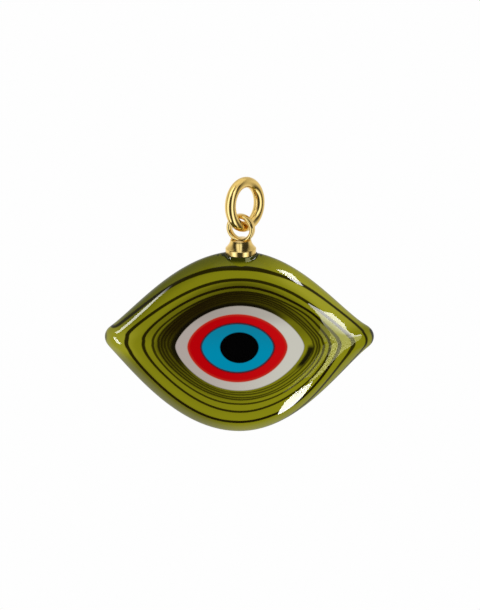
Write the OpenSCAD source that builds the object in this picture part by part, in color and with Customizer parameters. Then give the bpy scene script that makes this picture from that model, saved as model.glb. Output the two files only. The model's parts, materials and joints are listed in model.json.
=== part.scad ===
// Evil eye pendant: an olive glass eye with an eye of stacked glass layers in its front,
// a gold cap with its loop, and the jump ring that it hangs from.
// The origin is the top of the inside of the jump ring. +Z is up, +X is to the viewer's right
// and the front of the eye faces -Y. All sizes are in millimetres.

/* [Glass body] */
// Width from tip to tip
body_w = 28; // [22:0.5:40]
// Height of the upper edge above the tips
body_rise = 9.2; // [6:0.1:14]
// Depth of the lower edge below the tips
body_drop = 10.3; // [6:0.1:14]
// Thickness through the middle
body_t = 7.2; // [5:0.1:10]
// Radius of the tips, seen from the front
tip_r = 1.1; // [0.6:0.1:1.8]
// Roundness of the edge: low is a lens, high is a flat plate with a round edge
edge_power = 3.4; // [2:0.1:5]

/* [Eye] */
// Width of the white
white_w = 13.4; // [12:0.1:18]
// Height of the white
white_h = 9.3; // [8:0.1:12]
// Depth of the white's pocket
white_d = 2.0; // [1.7:0.1:2.4]
// How far the white lies to the right of the middle
white_shift = 0.05; // [-0.3:0.01:0.3]
// Width of the red
red_w = 10.35; // [9:0.1:11.5]
// Height of the red
red_h = 7.4; // [6.4:0.1:8]
// Depth of the red's pocket
red_d = 1.5; // [1.3:0.1:1.6]
// How far the red lies to the right of the middle
red_shift = -0.2; // [-0.4:0.01:0.4]
// Width of the blue
blue_w = 7.65; // [6:0.1:8.4]
// Height of the blue
blue_h = 5.45; // [4.4:0.1:6]
// Depth of the blue's pocket
blue_d = 1.0; // [0.8:0.1:1.2]
// How far the blue lies to the right of the middle
blue_shift = -0.18; // [-0.4:0.01:0.4]
// Width of the pupil
pupil_w = 3.95; // [2.5:0.1:5]
// Height of the pupil
pupil_h = 3.3; // [2.5:0.1:4]
// Depth of the pupil's pocket
pupil_d = 0.5; // [0.3:0.1:0.7]
// Clearance round each layer, filled by the fused glass
layer_gap = 0.02; // [0.01:0.01:0.05]

/* [Cap and loop] */
// Diameter of the cap's rim
cap_w = 3.2; // [2.6:0.1:4]
// Diameter of the cap's top
cap_top_w = 2.16; // [1.6:0.1:2.4]
// Height of the cap
cap_h = 1.5; // [0.9:0.1:2]
// Height of the straight band at the cap's rim
cap_band_h = 0.58; // [0.3:0.05:0.8]
// How far the cap's flank is hollowed
cap_hollow = 0.1; // [0:0.02:0.2]
// How far the cap stands to the right of the middle
cap_shift = 0.15; // [-1:0.05:1]
// Depth that the cap sits into the glass
cap_seat = 0.12; // [0.05:0.01:0.3]
// Diameter of the hidden post
post_w = 1.0; // [0.6:0.1:1.4]
// Length of the hidden post below the cap
post_len = 3.0; // [1.5:0.1:3.6]
// Height of the glass neck under the cap, most of it inside the body
neck_h = 1.6; // [1.2:0.1:2.2]
// How far the neck's foot stands out past the cap
neck_flare = 0.7; // [0.3:0.1:1]
// How far the neck's top stands out past the cap
neck_rim = 0.12; // [0.08:0.02:0.3]
// How far the neck's top rises round the cap
neck_lip = 0.06; // [0.02:0.02:0.12]
// Clearance round the post and the cap, filled with glue
glue_gap = 0.03; // [0.01:0.01:0.08]
// Inside diameter of the loop
loop_bore = 2.14; // [2.1:0.02:2.6]
// Thickness of the loop's flat wire, from the loop's inside to its outside
loop_wall = 0.46; // [0.36:0.02:0.6]
// Depth of the loop's flat wire, from the loop's front to its back
loop_depth = 0.8; // [0.6:0.05:0.9]
// Depth that the loop is soldered into the cap's top
solder = 0.3; // [0.1:0.05:0.4]
// Turn of the loop about the vertical, its right side towards the viewer
loop_turn = 24; // [0:1:30]

/* [Jump ring] */
// Inside diameter of the jump ring
ring_bore = 3.45; // [3.2:0.05:6]
// Thickness of the jump ring's wire
ring_wire = 1.15; // [0.8:0.05:1.2]
// Turn of the ring about the vertical, its right side away from the viewer
ring_turn = 50; // [40:1:60]
// Lean of the ring's plane out of the vertical
ring_tilt = 5.7; // [0:0.1:8]
// Slack between the wires where the loop hangs in the ring
hang_slack = 0.29; // [0.26:0.01:0.4]
// Angle out of the vertical from the loop's centre to the ring's centre
hang_lean = 16.6; // [0:0.2:17]
// Direction of that lean, measured from +X towards the back
hang_turn = 54.5; // [45:0.5:60]

/* [Hidden] */
$fn = 48;

// The ring and the loop: distance from the centre to the middle of the wire
ring_r = (ring_bore + ring_wire) / 2;
loop_r = (loop_bore + loop_wall) / 2;
// The ring hangs from the top of its inside, which is the origin
ring_up = [-sin(ring_turn) * sin(ring_tilt), cos(ring_turn) * sin(ring_tilt), cos(ring_tilt)];
ring_centre = -ring_bore / 2 * ring_up;
// The loop hangs in the ring
hang_dist = ring_r + loop_r - (ring_wire + loop_wall) / 2 - hang_slack;
hang_way = [sin(hang_lean) * cos(hang_turn), sin(hang_lean) * sin(hang_turn), cos(hang_lean)];
loop_centre = ring_centre - hang_dist * hang_way;

// Heights measured down from the loop's centre
cap_top_z = -loop_r - loop_wall / 2 + solder;
cap_foot_z = cap_top_z - cap_h;
tips_z = cap_foot_z + cap_seat - body_rise;

// An outline is a lens curve with rounded tips. Its two lids are powers of a sine, and the
// power of each quarter sets how full it is: 0.5 is an ellipse and 1 is a parabola.
// A row holds the half width, rise, drop, powers (upper right, upper left, lower left, lower
// right), softness of the tip, outward offset, shift to the right and depth of its pocket.
function half_w(s) = s[0];
function rise(s) = s[1];
function drop(s) = s[2];
function power(s, t) = s[3][floor((t + 360) % 360 / 90)];
function softness(s) = s[4] * s[4];
function offset_out(s) = s[5];
function shift(s) = s[6];
function depth(s) = s[7];
BODY = [body_w / 2 - tip_r, body_rise - tip_r, body_drop - tip_r, [1.4, 1.28, 1.13, 1.3], 0.23, tip_r, 0, 0];
// The eye's colours reach a little further below the tips than above them, and are even all round
low_share = 0.52;
function colour_row(w, h, q, x, d) =
    [w / 2, h * (1 - low_share), h * low_share, [q, q, q, q], 0.25, 0, x, d];
LAYERS = [
    colour_row(white_w, white_h, 0.71, white_shift, white_d),
    colour_row(red_w, red_h, 0.61, red_shift, red_d),
    colour_row(blue_w, blue_h, 0.59, blue_shift, blue_d),
    colour_row(pupil_w, pupil_h, 0.52, 0, pupil_d),
];

// Steps round an outline, and rings over the front, the edge and the back
around = 96;
front_rings = 11;
back_rings = 14;
// Angles of the steps, closer together at the tips than at the top and bottom
tip_crowding = 0.75;
STEPS = [for (i = [0:around - 1])
    let (t = 360 * i / around) t - tip_crowding * sin(2 * t) * 90 / PI];

function lens(s, t) =
    let (up = sin(t), fullness = (up * up + softness(s)) / (1 + softness(s)))
    [half_w(s) * cos(t),
     (up > 0 ? rise(s) : drop(s)) * up * pow(fullness, power(s, t) - 0.5)];

function unit(v) = v / norm(v);
function outward(s, t) = let (d = lens(s, t + 0.5) - lens(s, t - 0.5)) unit([d[1], -d[0]]);
function outline(s, t) = lens(s, t) + offset_out(s) * outward(s, t) + [shift(s), 0];

// Where the white's edge lies between the middle and the body's outline
eye_level = white_w / body_w;

// Ring at a level between the middle, 0, and the body's outline, 1
function level_point(u, t) =
    let (white = outline(LAYERS[0], t), edge = outline(BODY, t))
    u < eye_level ? u / eye_level * white
                  : white + (u - eye_level) / (1 - eye_level) * (edge - white);
function bulge(u) = body_t / 2 * sqrt(max(0, 1 - pow(u, edge_power)));

// Level of a point on one of the eye's outlines
function eye_u(p, t) = eye_level * norm(p) / norm(outline(LAYERS[0], t));
function on_front(p, u) = [p[0], -bulge(u), p[1]];

// Rings over the front between two of the eye's outlines, as shares from the inner to the outer
function front_ring(inner, outer, share, shrink = 0) =
    [for (t = STEPS)
        let (a = inner == undef ? [0, 0] : outline(inner, t), b = outline(outer, t),
             p = a + share * (b - a), q = p * (1 - shrink / norm(p)))
        on_front(q, eye_u(q, t))];

// A pocket's profile from its rim to its floor: share of the outline, share of the depth
BOWL = [[0.97, 0.35], [0.88, 0.7], [0.7, 0.92], [0.4, 1]];
function bowl_rings(s, gap) =
    [for (row = BOWL)
        [for (t = STEPS)
            let (b = outline(s, t), p = b * (row[0] - gap / norm(b)), rim_y = -bulge(eye_u(b, t)),
                 floor_y = gap_floor(s, gap))
            [p[0], rim_y + row[1] * (floor_y - rim_y), p[1]]]];
function gap_floor(s, gap) = depth(s) - gap - body_t / 2;
function floor_point(s, gap) = [shift(s), gap_floor(s, gap), 0];

// Closed skin over a list of rings, with a point at each end
module skin(first, rings, last) {
    n = around;
    m = len(rings);
    points = concat([first], [for (r = rings) for (p = r) p], [last]);
    faces = concat(
        [for (i = [0:n - 1]) [0, 1 + (i + 1) % n, 1 + i]],
        [for (k = [0:m - 2]) for (i = [0:n - 1])
            let (a = 1 + k * n + i, b = 1 + k * n + (i + 1) % n) each [[a, b, b + n], [a, b + n, a + n]]],
        [for (i = [0:n - 1]) let (a = 1 + (m - 1) * n) [m * n + 1, a + i, a + (i + 1) % n]]);
    polyhedron(points, faces, convexity = 6);
}

// Pocket floor up to its rim, then out over the front to the outer edge
module layer(k) {
    s = LAYERS[k];
    inner = LAYERS[k + 1];
    rim = front_ring(inner, s, 1, layer_gap);
    under = bowl_rings(s, layer_gap);
    over = inner == undef
        ? [for (share = [0.75, 0.5, 0.25]) front_ring(inner, s, share)]
        : concat([front_ring(inner, s, 0.5), front_ring(undef, inner, 1)], bowl_rings(inner, 0));
    last = inner == undef ? [shift(s), -bulge(0), 0] : floor_point(inner, 0);
    skin(floor_point(s, layer_gap), concat([for (j = [3:-1:0]) under[j]], [rim], over), last);
}

module at_tips() translate(loop_centre + [-cap_shift, 0, tips_z]) children();

module glass_shape() {
    pocket = bowl_rings(LAYERS[0], 0);
    front = [for (j = [0:front_rings])
        let (u = eye_level + (1 - eye_level) * sin(90 * j / front_rings))
        [for (t = STEPS) on_front(level_point(u, t), u)]];
    back = [for (j = [1:back_rings - 1])
        let (u = cos(90 * j / back_rings))
        [for (t = STEPS) let (p = level_point(u, t)) [p[0], bulge(u), p[1]]]];
    skin(floor_point(LAYERS[0], 0), concat([for (j = [3:-1:0]) pocket[j]], front, back), [0, body_t / 2, 0]);
}

// Olive glass, with a short neck that meets the cap, a seat for the cap and a hole for the post
module glass_body() {
    seat_z = body_rise - cap_seat - glue_gap;
    color("olive") at_tips() difference() {
        union() {
            glass_shape();
            translate([cap_shift, 0, seat_z - neck_h])
                cylinder(h = neck_h + neck_lip, r1 = cap_w / 2 + neck_flare, r2 = cap_w / 2 + neck_rim);
        }
        translate([cap_shift, 0, seat_z]) cylinder(h = cap_h, r = cap_w / 2 + glue_gap);
        translate([cap_shift, 0, seat_z - post_len]) cylinder(h = post_len + cap_h, r = post_w / 2 + glue_gap);
    }
}

module eye_white() { color("gainsboro") at_tips() layer(0); }
module eye_red() { color("red") at_tips() layer(1); }
module eye_blue() { color("deepskyblue") at_tips() layer(2); }
module pupil() { color("black") at_tips() layer(3); }

module torus(r, wire) {
    rotate([90, 0, 0]) rotate_extrude() translate([r, 0]) circle(d = wire);
}

// Ring of flat wire with round edges
module flat_torus(r, wall, depth) {
    flat = depth - wall;
    rotate([90, 0, 0]) rotate_extrude() translate([r, 0]) union() {
        square([wall, flat], center = true);
        for (side = [-1, 1]) translate([0, side * flat / 2]) circle(d = wall);
    }
}

// Half profile of the cap: hollowed flank above a straight band
module cap_profile() {
    foot = cap_w / 2;
    top = cap_top_w / 2;
    flank_h = cap_h - cap_band_h;
    steps = 6;
    flank = [for (j = [0:steps])
        let (s = j / steps)
        [foot + (top - foot) * s - cap_hollow * sin(180 * s), cap_band_h + flank_h * s]];
    polygon(concat([[0, 0], [foot, 0]], flank, [[0, cap_h]]));
}

// The cap, its soldered loop and the hidden post are one solid
module loop_cap() {
    color("gold") translate(loop_centre) union() {
        rotate([0, 0, -loop_turn]) flat_torus(loop_r, loop_wall, loop_depth);
        translate([0, 0, cap_foot_z]) rotate_extrude() cap_profile();
        translate([0, 0, cap_foot_z - post_len + glue_gap]) cylinder(h = post_len, d = post_w);
    }
}

module jump_ring() {
    color("gold") rotate([0, 0, ring_turn]) rotate([-ring_tilt, 0, 0])
        translate([0, 0, -ring_bore / 2]) torus(ring_r, ring_wire);
}

glass_body();
eye_white();
eye_red();
eye_blue();
pupil();
loop_cap();
jump_ring();
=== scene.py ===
"""Looks of the evil eye pendant: olive glass with a trailed dark thread, a fused eye of colour
layers, a gold cap with its loop and a gold jump ring. Lengths are in millimetres until a mesh is
made, and angles round the eye are in degrees from its right tip over the top."""
import json
import math

import bpy
import numpy as np
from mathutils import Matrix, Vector

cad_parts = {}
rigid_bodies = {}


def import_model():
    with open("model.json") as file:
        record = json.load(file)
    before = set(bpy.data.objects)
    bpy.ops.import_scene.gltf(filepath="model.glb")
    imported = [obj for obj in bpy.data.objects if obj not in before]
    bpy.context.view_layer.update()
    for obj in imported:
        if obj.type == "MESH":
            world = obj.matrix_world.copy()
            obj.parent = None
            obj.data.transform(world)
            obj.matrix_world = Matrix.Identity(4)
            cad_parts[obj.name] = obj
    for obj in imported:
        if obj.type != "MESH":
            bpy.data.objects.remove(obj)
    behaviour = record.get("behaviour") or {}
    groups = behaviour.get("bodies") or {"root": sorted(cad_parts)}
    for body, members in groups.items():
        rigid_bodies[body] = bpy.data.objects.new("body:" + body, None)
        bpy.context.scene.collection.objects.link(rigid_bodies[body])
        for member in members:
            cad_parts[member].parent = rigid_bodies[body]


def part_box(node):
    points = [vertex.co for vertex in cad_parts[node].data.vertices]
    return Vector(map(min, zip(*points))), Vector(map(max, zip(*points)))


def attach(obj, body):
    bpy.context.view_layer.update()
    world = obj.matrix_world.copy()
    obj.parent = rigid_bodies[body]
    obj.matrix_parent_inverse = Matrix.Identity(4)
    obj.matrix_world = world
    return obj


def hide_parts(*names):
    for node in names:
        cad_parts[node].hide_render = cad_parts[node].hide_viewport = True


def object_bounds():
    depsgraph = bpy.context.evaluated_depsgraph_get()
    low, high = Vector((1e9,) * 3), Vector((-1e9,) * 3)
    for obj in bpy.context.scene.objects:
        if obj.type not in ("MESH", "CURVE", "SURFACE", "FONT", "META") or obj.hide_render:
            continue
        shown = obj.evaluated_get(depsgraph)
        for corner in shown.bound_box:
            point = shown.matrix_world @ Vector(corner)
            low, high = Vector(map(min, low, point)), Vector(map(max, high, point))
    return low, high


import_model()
cad_low, cad_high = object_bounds()
MM = 0.001

# Glass body and its eye, the same numbers as the CAD part
BODY_W = 28
BODY_T = 7.2
EDGE_POWER = 3.4
BODY_DROP = 10.3
CAP_SHIFT = 0.15
POCKET_DEPTHS = {"white": 2.0, "red": 1.5, "blue": 1.0, "pupil": 0.5}
LAYER_GAP = 0.02
LOW_SHARE = 0.52
COLOUR_SOFTNESS = 0.25


def outline_row(half_w, rise, drop, powers, softness, offset, shift):
    """Sizes of a lens outline, with a power for each quarter."""
    return {"half_w": half_w, "rise": rise, "drop": drop, "powers": np.array(powers),
            "soft": softness ** 2, "offset": offset, "shift": shift}


def colour_row(width, height, power, shift):
    """Outline of one colour of the eye, whose lower part is a little taller than its upper."""
    return outline_row(half_w=width / 2, rise=height * (1 - LOW_SHARE), drop=height * LOW_SHARE,
                       powers=[power] * 4, softness=COLOUR_SOFTNESS, offset=0, shift=shift)


BODY = outline_row(half_w=12.9, rise=8.1, drop=9.2, powers=[1.4, 1.28, 1.13, 1.3],
                   softness=0.23, offset=1.1, shift=0)
WHITE = colour_row(width=13.4, height=9.3, power=0.71, shift=0.05)
RED = colour_row(width=10.35, height=7.4, power=0.61, shift=-0.2)
BLUE = colour_row(width=7.65, height=5.45, power=0.59, shift=-0.18)
PUPIL = colour_row(width=3.95, height=3.3, power=0.52, shift=0)
EYE_LEVEL = WHITE["half_w"] * 2 / BODY_W
# Nearest level to the middle at which slopes are taken
LOWEST_LEVEL = 0.002


def lens(row, t):
    """Lens shape with a power of its own in each quarter."""
    up = np.sin(np.radians(t))
    power = row["powers"][(np.floor(np.mod(t, 360) / 90)).astype(int)]
    height = np.where(up > 0, row["rise"], row["drop"])
    fullness = (up * up + row["soft"]) / (1 + row["soft"])
    z = height * up * fullness ** (power - 0.5)
    return np.stack([row["half_w"] * np.cos(np.radians(t)), z], -1)


def outline(row, t):
    """The lens moved outward by the row's offset, and sideways by its shift."""
    step = lens(row, t + 0.5) - lens(row, t - 0.5)
    out = np.stack([step[..., 1], -step[..., 0]], -1)
    out /= np.linalg.norm(out, axis=-1, keepdims=True)
    return lens(row, t) + row["offset"] * out + np.array([row["shift"], 0])


def level_point(u, t):
    """Point seen from the front at level u between the middle, 0, and the body's outline, 1."""
    white = outline(WHITE, t)
    edge = outline(BODY, t)
    share = ((u - EYE_LEVEL) / (1 - EYE_LEVEL))[..., None]
    inside = (u / EYE_LEVEL)[..., None] * white
    return np.where((u < EYE_LEVEL)[..., None], inside, white + share * (edge - white))


def bulge(u):
    """Half the glass's thickness at level u."""
    return BODY_T / 2 * np.sqrt(np.maximum(0, 1 - np.clip(u, 0, None) ** EDGE_POWER))


def slopes(u, t):
    """How level_point moves with u and with t."""
    du = 1e-4
    dt = 0.05
    by_u = (level_point(u + du, t) - level_point(u - du, t)) / (2 * du)
    by_t = (level_point(u, t + dt) - level_point(u, t - dt)) / (2 * dt)
    return by_u, by_t


def surface(u, t, side):
    """Points and normals of the glass at level u, on the front (side -1) or the back (side 1)."""
    u, t = np.broadcast_arrays(np.asarray(u, float), np.asarray(t, float))
    p = level_point(u, t)
    by_u, by_t = slopes(np.maximum(u, LOWEST_LEVEL), t)
    area = by_u[..., 0] * by_t[..., 1] - by_u[..., 1] * by_t[..., 0]
    grow = np.stack([by_t[..., 1], -by_t[..., 0]], -1) / area[..., None]
    y = bulge(u)
    pull = EDGE_POWER * (BODY_T / 2) ** 2 / 2 * u ** (EDGE_POWER - 1)
    normal = np.stack([pull * grow[..., 0], side * y, pull * grow[..., 1]], -1)
    normal /= np.linalg.norm(normal, axis=-1, keepdims=True)
    return np.stack([p[..., 0], side * y, p[..., 1]], -1), normal


FINE_T = np.arange(-180, 180.01, 0.1)
FINE_WHITE = outline(WHITE, FINE_T)
FINE_ANGLE = np.unwrap(np.arctan2(FINE_WHITE[:, 1], FINE_WHITE[:, 0]))


def level_in_eye(p):
    """Level and angle of a point inside the white's outline."""
    t = np.interp(np.arctan2(p[..., 1], p[..., 0]), FINE_ANGLE, FINE_T)
    u = EYE_LEVEL * np.linalg.norm(p, axis=-1) / np.linalg.norm(outline(WHITE, t), axis=-1)
    return u, t


# Steps of the search for a level and an angle, the most that one step turns, in degrees, and the
# levels it stays between
SEARCH_STEPS = 7
LONGEST_TURN = 8
SEARCH_LEVELS = (0.2, 1.3)


def level_near(p, u, t):
    """Level and angle of a point anywhere on the glass, from a first guess."""
    for _ in range(SEARCH_STEPS):
        miss = p - level_point(u, t)
        by_u, by_t = slopes(u, t)
        area = by_u[..., 0] * by_t[..., 1] - by_u[..., 1] * by_t[..., 0]
        u = u + (miss[..., 0] * by_t[..., 1] - miss[..., 1] * by_t[..., 0]) / area
        turn = (by_u[..., 0] * miss[..., 1] - by_u[..., 1] * miss[..., 0]) / area
        t = t + np.clip(turn, -LONGEST_TURN, LONGEST_TURN)
        u = np.clip(u, *SEARCH_LEVELS)
    return u, t


# Steps round the outlines, closer together at the tips
AROUND = 320
TIP_CROWDING = 0.75
TURN = np.arange(AROUND + 1) * 360 / AROUND
STEPS = TURN - TIP_CROWDING * np.sin(2 * np.radians(TURN)) * 90 / np.pi
STEPS[-1] = 360


def in_mm(corners):
    """Corners in millimetres, from corners in metres."""
    return (np.array(corner) / MM for corner in corners)


low, high = in_mm(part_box("glass_body"))
TIPS = np.array([(low[0] + high[0]) / 2, high[1] - BODY_T / 2, low[2] + BODY_DROP])


def srgb(red, green, blue):
    """Linear colour of an 8-bit display colour."""
    c = np.array([red, green, blue]) / 255
    return np.where(c <= 0.04045, c / 12.92, ((c + 0.055) / 1.055) ** 2.4)


def smooth(x, low_end, high_end):
    """Soft step from 0 to 1 between two ends."""
    s = np.clip((x - low_end) / (high_end - low_end), 0, 1)
    return s * s * (3 - 2 * s)


def mixed(a, b, share):
    """a where the share is 0 and b where it is 1, for colours and other vectors."""
    share = np.asarray(share)[..., None]
    return a * (1 - share) + b * share


def as_faces(*corners):
    """Faces from one array of vertex numbers for each corner."""
    return np.stack(corners, -1).reshape(-1, len(corners))


def volume_of(points, faces):
    """Six times the volume that triangles or quads enclose, below zero when they face inward."""
    total = 0.0
    for a in range(1, faces.shape[1] - 1):
        cross = np.cross(points[faces[:, a]], points[faces[:, a + 1]])
        total += np.sum(points[faces[:, 0]] * cross)
    return total


class Shell:
    """Vertices, faces, normals and corner values that become one mesh."""

    def __init__(self):
        self.points = []
        self.normals = []
        self.faces = []
        self.corner_values = {}
        self.count = 0

    def skin(self, rings, normals=None, values=None, first=None, last=None):
        """Skin over rings of n points, closed by a first and a last point where they are given.
        Values have one more column, so a turn may end on another value."""
        m, n = rings.shape[:2]
        wide = n + 1
        start = self.count
        ends = [p for p in (first, last) if p is not None]
        corners = np.concatenate([rings.reshape(-1, 3)] + [np.array([p]) for p in ends])
        bare = np.zeros((m, n, 3)) if normals is None else normals
        self.points.append(corners)
        self.normals += [bare.reshape(-1, 3)] + [np.zeros((1, 3)) for _ in ends]
        self.count += m * n + len(ends)
        k, i = np.meshgrid(np.arange(m - 1), np.arange(n), indexing="ij")
        j = (i + 1) % n
        quads = as_faces(k * n + i, k * n + j, (k + 1) * n + j, (k + 1) * n + i)
        here = k * wide + i
        groups = [(quads, as_faces(here, here + 1, here + wide + 1, here + wide))]
        i = np.arange(n)
        j = (i + 1) % n
        place = m * n
        for p, row in ((first, 0), (last, m - 1)):
            if p is None:
                continue
            centre = np.full(n, place)
            place += 1
            rim = row * n
            at = row * wide + i
            if row == 0:
                groups.append((as_faces(centre, rim + j, rim + i), as_faces(at, at + 1, at)))
            else:
                groups.append((as_faces(centre, rim + i, rim + j), as_faces(at, at, at + 1)))
        outward = sum(volume_of(corners, faces) for faces, _at in groups) > 0
        turn_over = slice(None, None, 1 if outward else -1)
        for faces, _at in groups:
            self.faces += (start + faces[:, turn_over]).tolist()
        picks = np.concatenate([at[:, turn_over].reshape(-1) for _faces, at in groups])
        for name, grid in (values or {}).items():
            flat = np.asarray(grid, float).reshape(m * wide, -1)
            self.corner_values.setdefault(name, []).append(flat[picks])

    def tube(self, rings):
        """Rings whose last one is the first one again, made into a closed tube."""
        rings = rings[:-1]
        m, n = rings.shape[:2]
        points = rings.reshape(-1, 3)
        k, i = np.meshgrid(np.arange(m), np.arange(n), indexing="ij")
        below = (k + 1) % m
        j = (i + 1) % n
        quads = as_faces(k * n + i, k * n + j, below * n + j, below * n + i)
        turn_over = slice(None, None, 1 if volume_of(points, quads) > 0 else -1)
        self.faces += (self.count + quads[:, turn_over]).tolist()
        self.points.append(points)
        self.normals.append(np.zeros((m * n, 3)))
        self.count += m * n

    def build(self, name, origin, material):
        """One mesh object, in metres."""
        mesh = bpy.data.meshes.new(name)
        points = (np.concatenate(self.points) + origin) * MM
        mesh.from_pydata(points.tolist(), [], self.faces)
        for value_name, parts in self.corner_values.items():
            data = np.concatenate(parts)
            if data.shape[1] == 1:
                attribute = mesh.attributes.new(value_name, "FLOAT", "CORNER")
                attribute.data.foreach_set("value", data.ravel().astype(np.float32))
            else:
                set_colours(mesh, value_name, "CORNER", data)
        mesh.shade_smooth()
        normals = np.concatenate(self.normals)
        given = np.linalg.norm(normals, axis=1) > 0.5
        if given.any():
            own = np.zeros(len(normals) * 3, np.float32)
            mesh.vertices.foreach_get("normal", own)
            normals = np.where(given[:, None], normals, own.reshape(-1, 3))
            mesh.normals_split_custom_set_from_vertices(normals.tolist())
        mesh.materials.append(material)
        obj = bpy.data.objects.new(name, mesh)
        bpy.context.scene.collection.objects.link(obj)
        return obj


def set_colours(mesh, name, domain, colours):
    """Stores linear colours on a mesh under a name."""
    rgba = np.concatenate([colours, np.ones((len(colours), 1))], 1)
    attribute = mesh.attributes.new(name, "FLOAT_COLOR", domain)
    attribute.data.foreach_set("color", rgba.ravel().astype(np.float32))


# The dark thread is one spiral from the back over the rim to the white's edge. Each entry is a
# turn, an angle and the level where the thread lies; levels above 1 are on the back.
THREAD = {
    -1: {0: 1.13, 60: 1.09, 90: 1.06, 120: 1.1, 180: 1.13, 240: 1.1, 270: 1.06, 300: 1.0,
        330: 0.97, 345: 0.954},
    0: {0: 0.944, 7.5: 0.96, 15: 0.966, 30: 0.973, 45: 0.961, 60: 0.938, 75: 0.896, 90: 0.882,
        105: 0.907, 120: 0.94, 135: 0.961, 150: 0.977, 165: 0.992, 172.5: 1.02, 180: 1.05,
        210: 1.05, 240: 1.04, 270: 1.01, 300: 0.955, 315: 0.909, 330: 0.874, 345: 0.855,
        352.5: 0.848},
    1: {0: 0.845, 7.5: 0.846, 15: 0.848, 30: 0.847, 45: 0.835, 60: 0.81, 75: 0.779, 90: 0.766,
        105: 0.777, 120: 0.805, 135: 0.841, 150: 0.868, 157.5: 0.873, 165: 0.871, 172.5: 0.861,
        180: 0.839, 187.5: 0.834, 195: 0.841, 210: 0.849, 225: 0.847, 240: 0.844, 255: 0.843,
        270: 0.837, 285: 0.84, 300: 0.855, 315: 0.826, 330: 0.786, 345: 0.759, 352.5: 0.752},
    2: {0: 0.742, 7.5: 0.753, 15: 0.754, 30: 0.759, 45: 0.759, 60: 0.723, 75: 0.698, 90: 0.689,
        105: 0.692, 120: 0.714, 135: 0.741, 150: 0.754, 165: 0.744, 172.5: 0.733, 180: 0.714,
        187.5: 0.716, 195: 0.719, 210: 0.722, 225: 0.716, 240: 0.711, 255: 0.71, 270: 0.713,
        285: 0.716, 300: 0.728, 315: 0.735, 330: 0.715, 345: 0.689, 352.5: 0.681},
    3: {0: 0.672, 7.5: 0.68, 15: 0.683, 30: 0.693, 45: 0.701, 60: 0.669, 75: 0.644, 90: 0.634,
        105: 0.634, 120: 0.649, 135: 0.67, 150: 0.681, 165: 0.668, 172.5: 0.659, 180: 0.644,
        187.5: 0.645, 195: 0.648, 210: 0.649, 225: 0.641, 240: 0.631, 255: 0.627, 270: 0.624,
        285: 0.634, 300: 0.653, 315: 0.665, 330: 0.657, 345: 0.638, 352.5: 0.632},
    4: {0: 0.625, 7.5: 0.63, 15: 0.635, 30: 0.641, 45: 0.655, 60: 0.643, 75: 0.624, 90: 0.613,
        105: 0.612, 120: 0.618, 135: 0.634, 150: 0.639, 165: 0.627, 172.5: 0.615, 180: 0.601,
        187.5: 0.602, 195: 0.604, 210: 0.603, 225: 0.591, 240: 0.579, 255: 0.572, 270: 0.576,
        285: 0.584, 300: 0.603, 315: 0.618, 330: 0.619, 345: 0.605, 352.5: 0.599},
    5: {0: 0.592, 7.5: 0.6, 15: 0.607, 30: 0.609, 60: 0.609, 75: 0.6, 90: 0.589, 120: 0.598,
        150: 0.61, 165: 0.598, 172.5: 0.589, 180: 0.578, 187.5: 0.577, 195: 0.578, 210: 0.574,
        225: 0.563, 240: 0.554, 270: 0.553, 300: 0.577, 330: 0.595, 345: 0.584, 352.5: 0.58},
    6: {0: 0.575, 7.5: 0.58, 15: 0.583, 30: 0.585, 60: 0.585, 75: 0.577, 90: 0.568, 120: 0.573,
        150: 0.579, 165: 0.574, 172.5: 0.566, 180: 0.555, 187.5: 0.551, 195: 0.553, 210: 0.545,
        225: 0.531, 240: 0.525, 270: 0.522, 300: 0.54, 330: 0.558, 345: 0.556},
    7: {0: 0.55, 15: 0.557, 30: 0.56, 60: 0.56, 90: 0.545, 120: 0.55, 150: 0.555, 165: 0.545,
        180: 0.53, 210: 0.51, 240: 0.503, 270: 0.497, 300: 0.512, 330: 0.528},
}
# The turns hidden on the back, further apart and rounder with every turn
BACK_TURNS = 3
BACK_SPACING = 0.17
BACK_LEVEL = 1.13
for turn in range(1, BACK_TURNS + 3):
    THREAD[-1 - turn] = {
        a: BACK_LEVEL + (u - BACK_LEVEL) * 0.5 ** turn + BACK_SPACING * turn - 0.0002 * a
        for a, u in THREAD[-1].items() if a < 290}
knots = sorted((turn + a / 360, u) for turn, row in THREAD.items() for a, u in row.items())
# The thread's inner end, in turns after its last knot and levels
INNER_END = [(0.6, 0.5), (1.8, 0.46)]
KNOT_AT = np.array([at for at, _u in knots] + [knots[-1][0] + later for later, _u in INNER_END])
KNOT_U = np.array([u for _at, u in knots + INNER_END])
KNOT_SLOPE = np.gradient(KNOT_U, KNOT_AT)
FIRST_TURN = -2 - BACK_TURNS
LAST_TURN = 8


def thread_level(at):
    """Level of the thread after so many turns: a cubic through the knots."""
    at = np.clip(at, KNOT_AT[0], KNOT_AT[-1])
    k = np.clip(np.searchsorted(KNOT_AT, at) - 1, 0, len(KNOT_AT) - 2)
    width = KNOT_AT[k + 1] - KNOT_AT[k]
    s = (at - KNOT_AT[k]) / width
    return ((1 + 2 * s) * (1 - s) ** 2 * KNOT_U[k] + s * s * (3 - 2 * s) * KNOT_U[k + 1]
            + width * (s * (1 - s) ** 2 * KNOT_SLOPE[k] - s * s * (1 - s) * KNOT_SLOPE[k + 1]))


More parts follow.
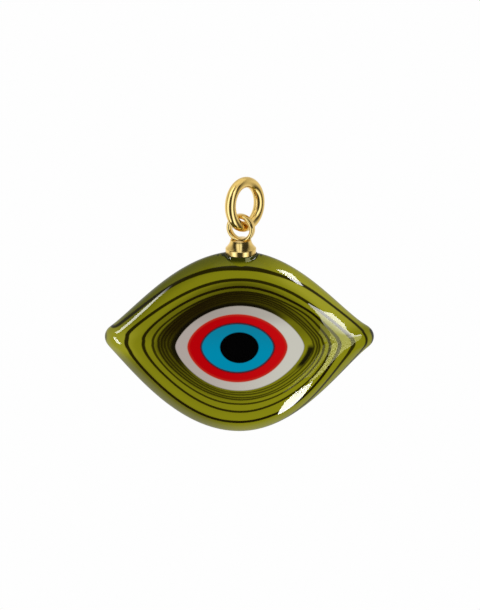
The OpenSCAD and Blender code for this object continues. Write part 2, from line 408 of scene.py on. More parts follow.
# Strength and half width of the thread, in levels, after so many turns
STRENGTH = np.array([
    (-3.9, 0), (-3.5, 0.95), (0, 0.95), (1, 0.92), (2, 1), (3, 0.9), (4, 0.85), (5, 0.8),
    (6, 0.75), (7, 0.7), (7.85, 0.7), (7.95, 0)]).T
HALF_WIDTH = np.array([
    (-4, 0.026), (-1, 0.012), (-0.2, 0.009), (0, 0.009), (0.12, 0.010), (0.2, 0.016),
    (0.25, 0.024), (0.3, 0.018), (0.38, 0.012), (0.5, 0.010), (0.7, 0.010), (0.86, 0.011),
    (1, 0.0165), (2, 0.015), (3, 0.0115), (4, 0.0095), (5, 0.008)]).T
LINE_SOFT = 0.005
LEAST_SPACING = 0.008


def thread_values(levels, t):
    """Turns of the thread, its half width, softness and strength over levels and angles."""
    shape = (len(levels), len(t))
    wind, half, soft, ink = (np.zeros(shape) for _ in range(4))
    turns = np.arange(FIRST_TURN, LAST_TURN + 1)
    for j, angle in enumerate(t):
        lines = thread_level(turns + angle / 360)
        order = np.argsort(lines)
        w = np.interp(levels, lines[order], turns[order],
                      left=LAST_TURN + 0.5, right=FIRST_TURN - 0.5)
        beside = np.clip(np.floor(w), FIRST_TURN, LAST_TURN - 1).astype(int) - FIRST_TURN
        spacing = np.maximum(np.abs(lines[beside] - lines[beside + 1]), LEAST_SPACING)
        near = np.round(w) + angle / 360
        wind[:, j] = w
        half[:, j] = np.interp(near, *HALF_WIDTH) / spacing
        soft[:, j] = LINE_SOFT / spacing
        ink[:, j] = np.interp(near, *STRENGTH)
    return {"wind": wind, "line_half": half, "line_soft": soft, "ink": ink}


# The same values where no thread runs
NO_THREAD = {"wind": 0.5, "line_half": 0.01, "line_soft": 0.01, "ink": 0.0}
OLIVE = srgb(141, 140, 21)
# Painted shade on the upper-left rim, which faces away from the light
OLIVE_PAINTED_SHADE_TOP = srgb(84, 88, 10)
# Painted light on the upper-right rim and at the left tip, where light comes through the glass
OLIVE_PAINTED_LIGHT = srgb(190, 187, 58)
# Painted shade on the lower-left rim
OLIVE_PAINTED_SHADE_LOW = srgb(106, 104, 28)
STAIN = srgb(30, 19, 3)
SMUDGE = srgb(14, 11, 7)
# Painted shade and painted reflection of the cap, on the neck under the cap
NECK_PAINTED_SHADE = srgb(40, 44, 8)
# Tints of the front, all painted light and shade: colour, share, arc with its ramp, and the
# levels over which it sets in
OLIVE_PAINTED_LIGHT_AND_SHADE = [
    # Painted shade, upper-left rim
    (OLIVE_PAINTED_SHADE_TOP, 0.7, (80, 160, 40), (0.85, 0.99)),
    # Painted light, upper-right rim
    (OLIVE_PAINTED_LIGHT, 0.55, (22, 74, 24), (0.80, 0.90)),
    # Painted light, left tip
    (OLIVE_PAINTED_LIGHT, 0.45, (160, 200, 30), (0.76, 0.86)),
    # Painted shade, lower-left rim
    (OLIVE_PAINTED_SHADE_LOW, 0.8, (203, 262, 26), (0.80, 0.87)),
]
# Brown stain round the eye: angle, share near the eye, level where that ends, share further out
STAIN_ROWS = [
    (0, 0.40, 0.60, 0.00), (30, 0.50, 0.66, 0.38), (60, 0.82, 0.66, 0.45),
    (90, 0.92, 0.66, 0.62), (120, 0.97, 0.665, 0.45), (150, 0.96, 0.66, 0.38),
    (180, 0.80, 0.63, 0.05), (210, 0.74, 0.63, 0.15), (240, 0.52, 0.61, 0.12),
    (270, 0.30, 0.60, 0.05), (300, 0.20, 0.59, 0.00), (330, 0.30, 0.60, 0.00),
]
STAIN_SOFT = 0.045


def turned_from(t, angle):
    """Signed difference of two angles, between -180 and 180."""
    return np.mod(t - angle + 180, 360) - 180


def arc(t, start, end, ramp):
    """1 between two angles, fading over a ramp on each side."""
    away = np.abs(turned_from(t, (start + end) / 2))
    half = (end - start) / 2
    return 1 - smooth(away, half - ramp / 2, half + ramp / 2)


def tip_mark(u, a, angle, reach, share):
    """Soft dark mark on the rim at a tip, reaching so many degrees round the outline."""
    middle_y = -0.2
    half_y = 0.75
    y = np.where(u < 1, -bulge(u), bulge(2 - u))
    away = np.hypot(turned_from(a, angle) / reach, (y - middle_y) / half_y)
    return share * (1 - smooth(away, 0.6, 1.0))


def body_tint(u, a):
    """Colour of the olive glass at level u and angle a, without its thread, with painted light
    and shade on its rim.
    """
    on_front = 1 - smooth(u, 1.05, 1.3)
    tint = OLIVE
    # Painted light and shade on the rim
    for colour, share, stretch, levels in OLIVE_PAINTED_LIGHT_AND_SHADE:
        tint = mixed(tint, colour, share * on_front * arc(a, *stretch) * smooth(u, *levels))
    angles, near, reach, far = np.array(STAIN_ROWS).T
    near, reach, far = (np.interp(a, angles, column, period=360) for column in (near, reach, far))
    near = near * (1 - smooth(u, reach - STAIN_SOFT, reach + STAIN_SOFT))
    clear = 0.85 * arc(a, -25, 42, 30) * (1 - smooth(u, 0.52, 0.58))
    brown = np.maximum(near * (1 - clear), far * (1 - smooth(u, 0.71, 0.80)))
    tint = mixed(tint, STAIN, brown)
    inner_ring = 0.9 * arc(a, 55, 212, 30) * (1 - smooth(u, 0.50, 0.535))
    smudge = 0.96 * arc(a, 326, 361, 10) * (1 - smooth(np.abs(u - 0.528), 0.012, 0.036))
    right_tip = tip_mark(u, a, -0.3, 5.1, 0.97)
    left_tip = tip_mark(u, a, 180, 2.6, 0.6)
    black = np.maximum.reduce([inner_ring, smudge, right_tip, left_tip])
    return mixed(tint, SMUDGE, black)


# Rings of a pocket: share of the outline's width and share of the depth
POCKET_RINGS = [(0.97, 0.35), (0.88, 0.7), (0.7, 0.92), (0.4, 1)]


def pocket(row, depth, gap):
    """Rings of a pocket from its rim down to its floor, and the floor's middle point."""
    edge = outline(row, STEPS[:-1])
    rim_y = -bulge(level_in_eye(edge)[0])
    floor_y = depth - gap - BODY_T / 2
    rings = []
    for wide, deep in POCKET_RINGS:
        p = edge * (wide - gap / np.linalg.norm(edge, axis=-1))[:, None]
        rings.append(np.stack([p[:, 0], rim_y + deep * (floor_y - rim_y), p[:, 1]], -1))
    return np.array(rings), np.array([row["shift"], floor_y, 0])


def repeated(value, count):
    """A grid of rings that hold one value."""
    return np.broadcast_to(np.asarray(value, float), (count, AROUND + 1) + np.shape(value)).copy()


# Rings of the body's mesh: on the front up to the rim level, from there to the outline, where
# they crowd, and on the back
RIM_LEVEL = 0.72
INNER_RINGS = 62
RIM_RINGS = 48
BACK_RINGS = 57
# Seat of the cap and the neck round it, with heights over the tips
SEAT_Z = 9.05
SEAT_H = 0.04
SEAT_R = 1.63
# How far the body stays below the seat, and inside its rim
BELOW_SEAT = 0.01
INSIDE_SEAT = 0.03
NECK_TOP_Z = 9.11
NECK_FOOT_Z = 8.0
NECK_TOP_R = 1.70
NECK_SLOPE = 0.22
NECK_ROUND = 0.2
NECK_LIP = 0.05
NECK_SUNK = 0.012
NECK_RINGS = 44
# Widest place where the neck can leave the body, and the halvings that find it
NECK_REACH = 7.0
NECK_HALVINGS = 26


def glass_body():
    """The olive glass with the white's pocket, sunk a hair where the neck's seat covers it."""
    shell = Shell()
    inner_levels = np.linspace(EYE_LEVEL, RIM_LEVEL, INNER_RINGS)
    rim_levels = np.sin(np.linspace(math.asin(RIM_LEVEL), math.pi / 2, RIM_RINGS))
    levels = np.concatenate([inner_levels, rim_levels[1:]])
    back = np.cos(np.linspace(0, math.pi / 2, BACK_RINGS))[1:-1]
    t = STEPS[:-1]
    front_p, front_n = surface(levels[:, None], t[None], -1)
    back_p, back_n = surface(back[:, None], t[None], 1)
    bowl, floor = pocket(WHITE, POCKET_DEPTHS["white"], 0)
    rings = np.concatenate([bowl[::-1], front_p, back_p])
    normals = np.concatenate([np.zeros_like(bowl), front_n, back_n])
    in_seat = np.hypot(rings[..., 0] - CAP_SHIFT, rings[..., 1]) < SEAT_R - INSIDE_SEAT
    sunk_z = np.minimum(rings[..., 2], SEAT_Z - BELOW_SEAT)
    rings[..., 2] = np.where(in_seat, sunk_z, rings[..., 2])
    reach = np.concatenate([levels, 2 - back])
    values = {k: np.concatenate([repeated(NO_THREAD[k], len(bowl)), v])
              for k, v in thread_values(reach, STEPS).items()}
    colours = body_tint(*np.meshgrid(reach, STEPS, indexing="ij"))
    values["tint"] = np.concatenate([repeated(OLIVE, len(bowl)), colours])
    shell.skin(rings, normals, values, floor, np.array([0, BODY_T / 2, 0]))
    neck(shell)
    return shell


def neck(shell):
    """Short neck under the cap, with a soft fillet to the body and a ring of painted shade and
    painted reflection of the cap just under the cap.
    """
    heights = NECK_TOP_Z - (NECK_TOP_Z - NECK_FOOT_Z) * np.linspace(0, 1, NECK_RINGS) ** 1.4
    around = np.radians(np.arange(AROUND) * 360 / AROUND)
    z, a = np.meshgrid(heights, around, indexing="ij")
    near = np.zeros_like(z)
    far = np.full_like(z, NECK_REACH)
    for _ in range(NECK_HALVINGS):
        r = (near + far) / 2
        p = np.stack([CAP_SHIFT + r * np.cos(a), z], -1)
        first_angle = np.degrees(np.arctan2(p[..., 1], p[..., 0]))
        u, angle = level_near(p, np.full_like(z, 0.95), first_angle)
        inside = (r * np.abs(np.sin(a)) < bulge(u)) & (u < 1)
        near = np.where(inside, r, near)
        far = np.where(inside, far, r)
    body_r = near
    below_top = NECK_TOP_Z - z
    cone_r = NECK_TOP_R + NECK_SLOPE * below_top
    overlap = np.maximum(0, NECK_ROUND - np.abs(cone_r - body_r)) / NECK_ROUND
    r = np.maximum(cone_r, body_r) + NECK_ROUND / 4 * overlap ** 2 - NECK_SUNK
    r -= NECK_LIP * (1 - np.sqrt(1 - (1 - np.clip(below_top / NECK_LIP, 0, 1)) ** 2))
    wall = np.stack([CAP_SHIFT + r * np.cos(a), r * np.sin(a), z], -1)
    down = np.gradient(wall, axis=0)
    along_ring = np.roll(wall, -1, axis=1) - np.roll(wall, 1, axis=1)
    wall_n = np.cross(along_ring, -down)
    wall_n /= np.linalg.norm(wall_n, axis=-1, keepdims=True)
    _, body_n = surface(np.clip(u, 0, 1), angle, np.where(np.sin(a) < 0, -1, 1))
    wall_n = mixed(wall_n, body_n, smooth(body_r - cone_r, 0, NECK_ROUND))
    wall_n /= np.linalg.norm(wall_n, axis=-1, keepdims=True)
    seat = []
    for r, seat_z in ((0.4, SEAT_Z), (SEAT_R, SEAT_Z), (SEAT_R, SEAT_Z + SEAT_H)):
        x = CAP_SHIFT + r * np.cos(around)
        seat.append(np.stack([x, r * np.sin(around), np.full(AROUND, seat_z)], -1))
    rings = np.concatenate([np.array(seat), wall])[:, ::-1]
    normals = np.concatenate([np.zeros_like(seat), wall_n])[:, ::-1]
    values = {k: repeated(v, len(rings)) for k, v in NO_THREAD.items()}
    # Painted shade and painted reflection of the cap, darkest just under the cap
    painted_shade_ring = 0.9 * (1 - smooth(below_top, 0.3, 0.7))
    colours = mixed(body_tint(u, np.mod(angle, 360)), NECK_PAINTED_SHADE, painted_shade_ring)
    colours = np.concatenate([np.repeat(colours[:1], len(seat), 0), colours])[:, ::-1]
    values["tint"] = np.concatenate([colours, colours[:, :1]], 1)
    top = np.array([CAP_SHIFT, 0, SEAT_Z])
    foot = np.array([CAP_SHIFT, 0, NECK_FOOT_Z])
    shell.skin(rings, normals, values, top, foot)


OUTLINES = {"white": WHITE, "red": RED, "blue": BLUE, "pupil": PUPIL}
# Colours of the eye's layers: the first one lies all over, and each later one has a share, what
# it follows in mm, and the two values between which it sets in. The ramps along x and z are
# painted light and shade.
LAYER_COLOURS = {
    "white": (srgb(186, 175, 168), [
        # Painted light: the white lighter to the right
        (srgb(213, 211, 199), 1, "x", (-6, 6)),
        # Painted shade: the white darker towards the top
        (srgb(150, 140, 130), 0.45, "z", (1.8, 3.6)),
        (srgb(120, 112, 96), 0.7, "from_rim", (0.11, 0)),
        (srgb(196, 120, 104), 0.7, "from_bore", (0.11, 0)),
    ]),
    "red": (srgb(192, 2, 10), [
        # Painted light: the red lighter to the right
        (srgb(206, 12, 16), 1, "x", (-4, 5)),
        (srgb(193, 50, 34), 0.9, "from_rim", (0.3, 0.02)),
        (srgb(84, 10, 18), 0.9, "from_bore", (0.12, 0)),
    ]),
    "blue": (srgb(0, 147, 184), [
        # Painted shade: the blue darker towards the top
        (srgb(14, 134, 166), 1, "z", (-1, 2.5)),
        (srgb(58, 22, 34), 0.92, "from_rim", (0.22, 0.06)),
        (srgb(4, 40, 56), 0.9, "from_bore", (0.1, 0)),
    ]),
    "pupil": (srgb(3, 3, 3), []),
}


def layer_tint(key, flat, rim, bore):
    """Colours of an eye layer over points seen from the front, with painted light and shade."""
    along = {"x": flat[..., 0], "z": flat[..., 1],
             "from_rim": np.linalg.norm(flat - rim, axis=-1),
             "from_bore": np.linalg.norm(flat - bore, axis=-1)}
    base, over = LAYER_COLOURS[key]
    tint = np.broadcast_to(base, flat.shape[:2] + (3,))
    for colour, share, measure, stretch in over:
        tint = mixed(tint, colour, share * smooth(along[measure], *stretch))
    return tint


EYE_RINGS = 25


def eye_layer(key, inner_key):
    """One colour of the eye: its pocket, its front and the pocket of the next colour."""
    row = OUTLINES[key]
    t = STEPS[:-1]
    rim = outline(row, t)
    shares = (1 - np.cos(np.linspace(0, np.pi, EYE_RINGS))) / 2
    if inner_key:
        inner = OUTLINES[inner_key]
        bore = outline(inner, t)
    else:
        bore = np.zeros_like(rim)
        shares = shares[:-1]
    flat = rim + shares[:, None, None] * (bore - rim)
    u, level_t = level_in_eye(flat)
    _, front_n = surface(u, level_t, -1)
    bowl, floor = pocket(row, POCKET_DEPTHS[key], LAYER_GAP)
    tint = layer_tint(key, flat, rim, bore)
    rings = [bowl[::-1], np.stack([flat[..., 0], -bulge(u), flat[..., 1]], -1)]
    normals = [np.zeros_like(bowl), front_n]
    tints = [repeated(tint[0, 0], len(bowl)), np.concatenate([tint, tint[:, :1]], 1)]
    last = np.array([row["shift"], -BODY_T / 2, 0])
    if inner_key:
        inner_bowl, last = pocket(inner, POCKET_DEPTHS[inner_key], 0)
        rings.append(inner_bowl)
        normals.append(np.zeros_like(inner_bowl))
        tints.append(repeated(tint[-1, 0], len(inner_bowl)))
    values = {"tint": np.concatenate(tints)}
    shell = Shell()
    shell.skin(np.concatenate(rings), np.concatenate(normals), values, floor, last)
    return shell


# Materials
GLASS_ROUGHNESS = 0.015
GLASS_IOR = 1.5
THREAD_COLOUR = (*srgb(26, 18, 3), 1)
GOLD_COLOUR = (0.79, 0.55, 0.165, 1)
GOLD_ROUGHNESS = 0.16
# Places of a Mix node's first value, second value and result
MIX_SOCKETS = {"FLOAT": (2, 3, 0), "RGBA": (6, 7, 2)}


def material(name):
    """A new material and its node tree."""
    mat = bpy.data.materials.new(name)
    mat.use_nodes = True
    return mat, mat.node_tree


def node(tree, kind, **settings):
    """A new node in a tree."""
    made = tree.nodes.new(kind)
    for key, value in settings.items():
        setattr(made, key, value)
    return made


def feed(tree, socket, value):
    """Gives a socket a plain value, or links another node's output to it."""
    if isinstance(value, bpy.types.NodeSocket):
        tree.links.new(value, socket)
    else:
        socket.default_value = value


def stored(tree, name, output="Fac"):
    """What a mesh stores under a name."""
    return node(tree, "ShaderNodeAttribute", attribute_name=name).outputs[output]


def maths(tree, operation, *values):
    """Result of a sum on numbers or other nodes' outputs."""
    step = node(tree, "ShaderNodeMath", operation=operation)
    for socket, value in zip(step.inputs, values):
        feed(tree, socket, value)
    return step.outputs[0]


def ramp(tree, source, start, end, low_value=0, high_value=1):
    """Soft step between two values while the source goes from start to end."""
    step = node(tree, "ShaderNodeMapRange", interpolation_type="SMOOTHSTEP")
    given = {"Value": source, "From Min": start, "From Max": end,
             "To Min": low_value, "To Max": high_value}
    for socket_name, value in given.items():
        feed(tree, step.inputs[socket_name], value)
    return step.outputs["Result"]


def mix(tree, kind, share, first, second):
    """The first value where the share is 0 and the second one where it is 1."""
    step = node(tree, "ShaderNodeMix", data_type=kind)
    first_at, second_at, result_at = MIX_SOCKETS[kind]
    feed(tree, step.inputs[0], share)
    feed(tree, step.inputs[first_at], first)
    feed(tree, step.inputs[second_at], second)
    return step.outputs[result_at]


def glass(name, with_thread=False):
    """Glass in the colours that its mesh stores, with the dark thread over them where wanted."""
    mat, tree = material(name)
    colour = stored(tree, "tint", "Color")
    if with_thread:
        wind, half, soft, ink = (stored(tree, key) for key in NO_THREAD)
        past_line = maths(tree, "FRACT", maths(tree, "ADD", wind, 0.5))
        away = maths(tree, "ABSOLUTE", maths(tree, "SUBTRACT", past_line, 0.5))
        line_end = maths(tree, "ADD", half, soft)
        line_start = maths(tree, "SUBTRACT", half, soft)
        share = maths(tree, "MULTIPLY", ramp(tree, away, line_end, line_start), ink)
        colour = mix(tree, "RGBA", share, colour, THREAD_COLOUR)
    bsdf = tree.nodes["Principled BSDF"]
    bsdf.inputs["Roughness"].default_value = GLASS_ROUGHNESS
    bsdf.inputs["IOR"].default_value = GLASS_IOR
    feed(tree, bsdf.inputs["Base Color"], colour)
    return mat


def gold():
    """Polished gold with slightly soft reflections."""
    mat, tree = material("polished gold")
    bsdf = tree.nodes["Principled BSDF"]
    bsdf.inputs["Base Color"].default_value = GOLD_COLOUR
    bsdf.inputs["Metallic"].default_value = 1
    bsdf.inputs["Roughness"].default_value = GOLD_ROUGHNESS
    return mat


def place(obj, body, slot, *nodes):
    """Hides the CAD pieces that an object stands in for and attaches it to the body it moves
    with. The material slot is not used.
    """
    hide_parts(*nodes)
    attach(obj, body)


olive_glass = glass("olive glass", with_thread=True)
olive_body = glass_body().build("olive_glass_body", TIPS, olive_glass)
place(olive_body, "pendant", "olive_glass", "glass_body")
# Layers of the eye from the outside in, each with the layer in its pocket
LAYERS = [
    ("white", "red", "eye_white", "white_glass"),
    ("red", "blue", "eye_red", "red_glass"),
    ("blue", "pupil", "eye_blue", "blue_glass"),
    ("pupil", None, "pupil", "black_glass"),
]
for key, inner_key, cad_node, slot in LAYERS:
    shell = eye_layer(key, inner_key)
    layer = shell.build(f"glass_{cad_node}", TIPS, glass(f"{key} glass"))
    place(layer, "pendant", slot, cad_node)


# Gold parts
GOLD = gold()
RING_BORE = 3.45
RING_WIRE = 1.15
RING_TURN = math.radians(50)
RING_TILT = math.radians(5.7)
RING_STEPS = 192
LOOP_BORE = 2.14
LOOP_WALL = 0.46
LOOP_DEPTH = 0.8
LOOP_TURN = math.radians(24)
LOOP_STEPS = 160
LOOP_R = (LOOP_BORE + LOOP_WALL) / 2
SOLDER = 0.3
CAP_TOP_Z = -LOOP_R - LOOP_WALL / 2 + SOLDER
CAP_H = 1.5
CAP_FOOT_R = 1.6
CAP_TOP_R = 1.08
CAP_STEPS = 192
BAND_H = 0.58
# How far the flank steps in above the band, and how hollow it is
FLANK_STEP = 0.02
FLANK_HOLLOW = 0.1
EDGE_ROUND = 0.05
FLANK_ROUND = 0.015
FLANK_POINTS = 14
EDGE_POINTS = 6


def revolved(profile, turns):
    """Rings of a profile (radius, height) turned round the vertical."""
    a = np.radians(np.arange(turns) * 360 / turns)
    r = profile[:, :1]
    z = np.broadcast_to(profile[:, 1:], (len(profile), turns))
    return np.stack([r * np.cos(a), r * np.sin(a), z], -1)


def ring_rings(radius, section, axis, turns):
    """A closed section (outward, along the axis) carried round an axis, the last ring on the
    first one."""
    axis = axis / np.linalg.norm(axis)
    first = np.cross(axis, [0, 0, 1.0])
    first /= np.linalg.norm(first)
    second = np.cross(axis, first)
    a = np.radians(np.arange(turns + 1) * 360 / turns)
    out = np.cos(a)[:, None] * first + np.sin(a)[:, None] * second
    return (radius + section[None, :, 0, None]) * out[:, None] + section[None, :, 1, None] * axis


def round_section(radius, steps=64):
    """Section of round wire."""
    a = np.radians(np.arange(steps) * 360 / steps)
    return radius * np.stack([np.cos(a), np.sin(a)], -1)


def flat_section(wall, depth, steps=24):
    """Section of flat wire with round edges."""
    a = np.radians(np.linspace(-90, 90, steps)) + np.pi / 2
    cap = wall / 2 * np.stack([np.cos(a), np.sin(a)], -1)
    flat = (depth - wall) / 2
    return np.concatenate([cap + [0, flat], -cap - [0, flat]])


def rounded_profile():
    """Half profile of the cap with its edges rounded, from the foot's middle to the top's."""
    s = np.linspace(0, 1, FLANK_POINTS)
    start_r = CAP_FOOT_R - FLANK_STEP
    flank_r = start_r + (CAP_TOP_R - start_r) * s - FLANK_HOLLOW * np.sin(np.pi * s)
    flank = np.stack([flank_r, BAND_H + (CAP_H - BAND_H) * s], -1)
    corners = np.array([(0, 0), (CAP_FOOT_R, 0), (CAP_FOOT_R, BAND_H), *flank[1:-1],
                        (CAP_TOP_R, CAP_H), (0, CAP_H)])
    out = [corners[0]]
    for k in range(1, len(corners) - 1):
        before, here, after = corners[k - 1:k + 2]
        is_edge = k in (1, 2, len(corners) - 2)
        cut = EDGE_ROUND if is_edge else FLANK_ROUND
        a = here + (before - here) / np.linalg.norm(before - here) * cut
        b = here + (after - here) / np.linalg.norm(after - here) * cut
        for q in np.linspace(0, 1, EDGE_POINTS if is_edge else 2):
            out.append((1 - q) ** 2 * a + 2 * q * (1 - q) * here + q * q * b)
    out.append(corners[-1])
    return np.array(out) + [0, CAP_TOP_Z - CAP_H]


low, high = in_mm(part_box("jump_ring"))
ring_axis = np.array([-math.sin(RING_TURN) * math.cos(RING_TILT),
                      math.cos(RING_TURN) * math.cos(RING_TILT),
                      -math.sin(RING_TILT)])
wire = round_section(RING_WIRE / 2)
ring_shell = Shell()
ring_shell.tube(ring_rings((RING_BORE + RING_WIRE) / 2, wire, ring_axis, RING_STEPS))
jump_ring = ring_shell.build("gold_jump_ring", (low + high) / 2, GOLD)
place(jump_ring, "ring", "gold", "jump_ring")

low, high = in_mm(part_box("loop_cap"))
LOOP_CENTRE = np.append((low + high)[:2] / 2, high[2] - LOOP_R - LOOP_WALL / 2)
profile = rounded_profile()
foot = np.array([0, 0, profile[0, 1]])
top = np.array([0, 0, profile[-1, 1]])
loop_axis = np.array([math.sin(LOOP_TURN), math.cos(LOOP_TURN), 0])
wire = flat_section(LOOP_WALL, LOOP_DEPTH)
cap_shell = Shell()
cap_shell.skin(revolved(profile[1:-1], CAP_STEPS), None, None, foot, top)
cap_shell.tube(ring_rings(LOOP_R, wire, loop_axis, LOOP_STEPS))
loop_cap = cap_shell.build("gold_loop_cap", LOOP_CENTRE, GOLD)
place(loop_cap, "pendant", "gold", "loop_cap")

# Camera: 18 degrees above the horizon, far enough for the photo's flat perspective
scene = bpy.context.scene
ELEVATION = math.radians(18)
VIEW = np.array([0, math.cos(ELEVATION), -math.sin(ELEVATION)])
VIEW_UP = np.array([0, math.sin(ELEVATION), math.cos(ELEVATION)])
PIXEL = 0.10405
IMAGE_H = 610
SENSOR = 24
DISTANCE = 1000.0
# The picture's middle, from the middle between the two tips
TARGET_RIGHT = 0.068
TARGET_UP = 3.257
target = TIPS + np.array([TARGET_RIGHT, 0, 0]) + TARGET_UP * VIEW_UP
camera = bpy.data.objects.new("camera", bpy.data.cameras.new("camera"))
camera.data.sensor_fit = "VERTICAL"
camera.data.sensor_height = SENSOR
camera.data.lens = SENSOR * DISTANCE / (PIXEL * IMAGE_H)
camera.data.clip_end = 20
camera.location = Vector((target - DISTANCE * VIEW) * MM)
camera.rotation_euler = Vector(VIEW).to_track_quat("-Z", "Y").to_euler()
scene.collection.objects.link(camera)
scene.camera = camera
scene.view_settings.view_transform = "Standard"


# Light panels round the pendant, seen only as reflections in some of its pieces
def panel_material(name):
    """Light in the colours that a mesh stores. What lies behind shows through."""
    mat, tree = material(name)
    tree.nodes.remove(tree.nodes["Principled BSDF"])
    emission = node(tree, "ShaderNodeEmission")
    clear = node(tree, "ShaderNodeBsdfTransparent")
    both = node(tree, "ShaderNodeAddShader")
    feed(tree, emission.inputs["Color"], stored(tree, "light", "Color"))
    feed(tree, both.inputs[0], clear.outputs[0])
    feed(tree, both.inputs[1], emission.outputs[0])
    feed(tree, tree.nodes["Material Output"].inputs["Surface"], both.outputs[0])
    return mat


def panel(name, rows, light, mat, seen_by):
    """A sheet of light over rows of points, reflected only by the pieces that it is for."""
    m, n = rows.shape[:2]
    k, i = np.meshgrid(np.arange(m - 1), np.arange(n - 1), indexing="ij")
    first = k * n + i
    quads = as_faces(first, first + 1, first + n + 1, first + n)
    mesh = bpy.data.meshes.new(name)
    mesh.from_pydata((rows.reshape(-1, 3) * MM).tolist(), [], quads.tolist())
    set_colours(mesh, "light", "POINT", np.broadcast_to(light, rows.shape).reshape(-1, 3))
    mesh.materials.append(mat)
    obj = bpy.data.objects.new(name, mesh)
    scene.collection.objects.link(obj)
    obj.visible_camera = False
    obj.visible_diffuse = False
    obj.visible_shadow = False
    obj.visible_transmission = False
    obj.light_linking.receiver_collection = seen_by


def receivers(name, *names):
    """The finished pieces that a light is for."""
    group = bpy.data.collections.new(name)
    for obj in list(scene.objects):
        if obj.name in names:
            group.objects.link(obj)
    return group


PANEL_DISTANCE = 120.0
PANEL_ROWS = 80
PANEL_COLUMNS = 25
ALL_GLASS = receivers("all glass", "olive_glass_body", "glass_eye_white", "glass_eye_red",
                      "glass_eye_blue", "glass_pupil")
PANEL = panel_material("light panel")
WHITE_LIGHT = np.array([1.0, 1.0, 1.0])
WARM_LIGHT = np.array([1.0, 0.99, 0.5])
WINDOW_TOP = 0.68
# Brightness of the window along its upper edge and in its lower part
WINDOW_HIGH = 14
WINDOW_LOW = 4.2


def sheet(name, side, edges, shine, top_edge=None):
    """A light in the plane to one side. Each row of edges holds a height and the light's two
    edges at that height, and shine gives the light at a point, all in shares of the plane's
    distance."""
    heights, near, far = np.array(edges).T
    z = np.unique(np.concatenate([heights, np.linspace(heights[0], heights[-1], PANEL_ROWS)]))
    near = np.interp(z, heights, near)[:, None]
    far = np.interp(z, heights, far)[:, None]
    y = near + (far - near) * np.linspace(0, 1, PANEL_COLUMNS)
    z = np.broadcast_to(z[:, None], y.shape)
    if top_edge:
        z = np.minimum(z, np.interp(y, *top_edge))
    rows = TIPS + PANEL_DISTANCE * np.stack([np.full_like(y, side), y, z], -1)
    panel(name, rows, shine(y, z), PANEL, ALL_GLASS)


def even(brightness, colour=WHITE_LIGHT):
    """The same light all over."""
    return lambda y, z: brightness * colour


def window_shine(y, z):
    """Bright and white along the upper edge, dimmer and warmer below."""
    band = (1 - smooth(WINDOW_TOP - z, 0.02, 0.3)) * (0.5 + 0.5 * smooth(y, -1.1, -0.3))
    return mixed(WINDOW_LOW * WARM_LIGHT, WINDOW_HIGH * WHITE_LIGHT, band)


def left_shine(y, z):
    """Fades towards its upper end."""
    return mixed(10 * WHITE_LIGHT, 0 * WHITE_LIGHT, smooth(z, 0.66, 0.95))


sheet("window_light", 1, [
    (-1.69, -1.19, -1.12), (-1.62, -1.17, -0.92), (-1.58, -1.16, -0.90), (-1.5, -1.26, -0.83),
    (-1.45, -1.55, -0.79), (-1.38, -1.8, -0.86), (-1.22, -1.98, -0.95), (-1.0, -2.22, -0.92),
    (-0.38, -2.03, -0.78), (0.06, -1.9, -0.48), (0.42, -1.38, -0.25), (0.5, -1.2, -0.2),
    (0.56, -1.05, -0.2), (0.63, -0.95, -0.2), (0.71, -0.92, -0.2),
], window_shine, (
    [-0.92, -0.84, -0.77, -0.62, -0.5, -0.42, -0.2],
    [0.73, 0.715, 0.687, 0.658, 0.652, 0.652, 0.655]))
sheet("low_light", 1, [
    (-2.83, -0.27, -0.25), (-2.8, -0.35, -0.15), (-2.64, -0.81, -0.1), (-2.4, -1.28, -0.06),
    (-2.09, -1.33, -0.12), (-1.8, -1.15, -0.34), (-1.65, -0.91, -0.64), (-1.6, -0.84, -0.8),
], even(17))
sheet("top_light", 1, [
    (0.92, 0.01, 0.03), (1.0, -0.15, 0.26), (1.11, -0.15, 0.54), (1.31, -0.08, 0.48),
    (1.62, 0.05, 0.07),
], even(15))
sheet("left_light", -1, [
    (0.6, -0.11, 0.1), (0.67, -0.1, 0.11), (0.7, -0.06, 0.12), (0.8, -0.02, 0.17),
    (0.88, 0.04, 0.2), (0.93, 0.1, 0.16),
], left_shine)
sheet("haze_light", 1, [
    (-2.7, -2.72, -2.69), (-2.3, -2.52, -2.2), (-1.9, -2.5, -1.95), (-1.7, -2.72, -1.5),
    (-1.5, -2.8, -1.75), (-1.2, -2.9, -2.03), (-1.0, -2.95, -2.24), (-0.38, -2.6, -2.05),
    (0.06, -2.3, -1.92), (0.42, -1.5, -1.4),
], even(1.3, WARM_LIGHT))
sheet("tip_light", -1, [
    (-0.56, -0.5, -0.47), (-0.42, -0.57, -0.39), (-0.1, -0.48, -0.27), (0.05, -0.36, -0.2),
    (0.17, -0.25, -0.15),
], even(12))

# Cards that only some gold parts see
RING_ONLY = receivers("ring only", "gold_jump_ring")
CAP_ONLY = receivers("cap only", "gold_loop_cap")
ALL_GOLD = receivers("all gold", "gold_jump_ring", "gold_loop_cap")
CARD = panel_material("gold card")
CARD_ROWS = 9
# What a card gains above a level of 1, so that bright gold turns pale instead of yellow
PALER = np.array([-0.4, -0.1, 0.8])


def card(name, seen_by, distance, azimuths, elevations, levels):
    """A curved card round the loop between two azimuths and two elevations, with its levels of
    light from the first azimuth to the second."""
    elevation = np.radians(np.linspace(*elevations, CARD_ROWS))[:, None]
    azimuth = np.radians(np.linspace(*azimuths, len(levels)))[None]
    up = np.broadcast_to(np.sin(elevation), (CARD_ROWS, len(levels)))
    right = np.sin(azimuth) * np.cos(elevation)
    to_back = -np.cos(azimuth) * np.cos(elevation)
    rows = LOOP_CENTRE + distance * np.stack([right, to_back, up], -1)
    levels = np.array(levels)[:, None]
    light = levels * WHITE_LIGHT + np.maximum(0, levels - 1) * PALER
    panel(name, rows, light, CARD, seen_by)


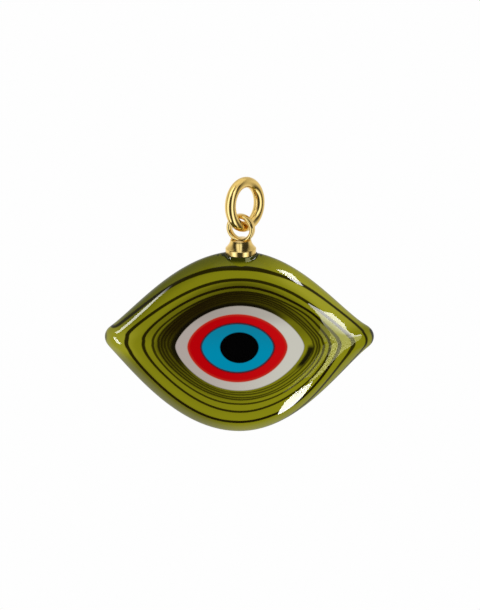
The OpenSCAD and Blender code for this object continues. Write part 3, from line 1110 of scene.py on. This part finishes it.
LEFT_LEVELS = [0.4, 0.9, 1.7, 2.2, 1.4, 0.3]
RIGHT_LEVELS = [0.3, 1.4, 2.2, 1.7, 0.9, 0.4]
card("ring_left_card", RING_ONLY, 90, (-84, -26), (-58, 80), LEFT_LEVELS)
card("ring_right_card", RING_ONLY, 90, (14, 64), (-58, 50), RIGHT_LEVELS)
card("cap_left_card", CAP_ONLY, 92, (-84, -26), (-58, -4), [0.3, 0.8, 1.7, 2.2, 1.4, 0.3])
card("cap_right_card", CAP_ONLY, 92, (14, 64), (-58, -4), [0.3, 1.4, 2.2, 1.7, 1.0, 0.4])
card("flank_card", CAP_ONLY, 94, (-52, 15), (8, 86), [0.2, 1.3, 1.5, 0.6, 1.8, 0.3])
card("front_card", ALL_GOLD, 100, (-100, 100), (-80, 60), [0.045] * 5)
card("back_card", ALL_GOLD, 96, (80, 280), (-75, 40), [0.1] + [0.6] * 6 + [0.1])
card("ring_top_card", RING_ONLY, 98, (0, 360), (40, 89), [0, 0.7] + [0.9] * 5 + [0.7, 0])
card("cap_top_card", CAP_ONLY, 98, (75, 285), (40, 89), [0.2] + [0.85] * 4 + [0.2])

# World: pale for the camera, a dark studio in reflections, soft light on the colours
BACKDROP = 0.991
world = bpy.data.worlds.new("studio")
scene.world = world
world.use_nodes = True
world.cycles.sampling_method = "NONE"
sky = world.node_tree
sky.nodes.clear()
split = node(sky, "ShaderNodeSeparateXYZ")
feed(sky, split.inputs[0], node(sky, "ShaderNodeTexCoord").outputs["Generated"])
x_way, y_way, z_way = split.outputs
ray = node(sky, "ShaderNodeLightPath").outputs
# Ramps that multiply: a direction, where its ramp starts and ends, and the value at either end
REFLECTED = [
    (y_way, -0.15, 0.25, 0.01, 1),
    (x_way, -0.7, 0.7, 0.60, 0.40),
    (z_way, 0.0, 0.5, 1, 0.3),
]
SOFT = [
    (x_way, -1, 1, 0.85, 1.15),
    (y_way, -0.6, 0.9, 1.15, 0.65),
    (z_way, -0.8, 0.9, 1.05, 0.85),
]


def product_of(ramps):
    """Product of a table of ramps."""
    result = 1.0
    for row in ramps:
        result = maths(sky, "MULTIPLY", result, ramp(sky, *row))
    return result


overhead = ramp(sky, z_way, 0.88, 0.95, 0, 0.25)
reflected = maths(sky, "MAXIMUM", product_of(REFLECTED), overhead)
strength = mix(sky, "FLOAT", ray["Is Diffuse Ray"], reflected, product_of(SOFT))
strength = mix(sky, "FLOAT", ray["Is Camera Ray"], strength, BACKDROP)
background = node(sky, "ShaderNodeBackground")
feed(sky, background.inputs["Strength"], strength)
output = node(sky, "ShaderNodeOutputWorld")
feed(sky, output.inputs["Surface"], background.outputs[0])

# Pale floor under the hanging pendant, seen by the camera alone
FLOOR_DROP = 6
FLOOR_HALF = 1500
floor_z = cad_low[2] / MM - FLOOR_DROP
ends = (-FLOOR_HALF, FLOOR_HALF)
corners = np.array([(x, y, floor_z) for y in ends for x in ends])
floor_mesh = bpy.data.meshes.new("pale_floor")
floor_mesh.from_pydata((corners * MM).tolist(), [], [(0, 1, 3, 2)])
floor_mat, floor_tree = material("pale floor")
floor_tree.nodes.remove(floor_tree.nodes["Principled BSDF"])
glow = node(floor_tree, "ShaderNodeEmission")
glow.inputs["Strength"].default_value = BACKDROP
surface_socket = floor_tree.nodes["Material Output"].inputs["Surface"]
feed(floor_tree, surface_socket, glow.outputs[0])
floor_mesh.materials.append(floor_mat)
floor = bpy.data.objects.new("pale_floor", floor_mesh)
scene.collection.objects.link(floor)
floor.visible_diffuse = False
floor.visible_glossy = False
floor.visible_shadow = False
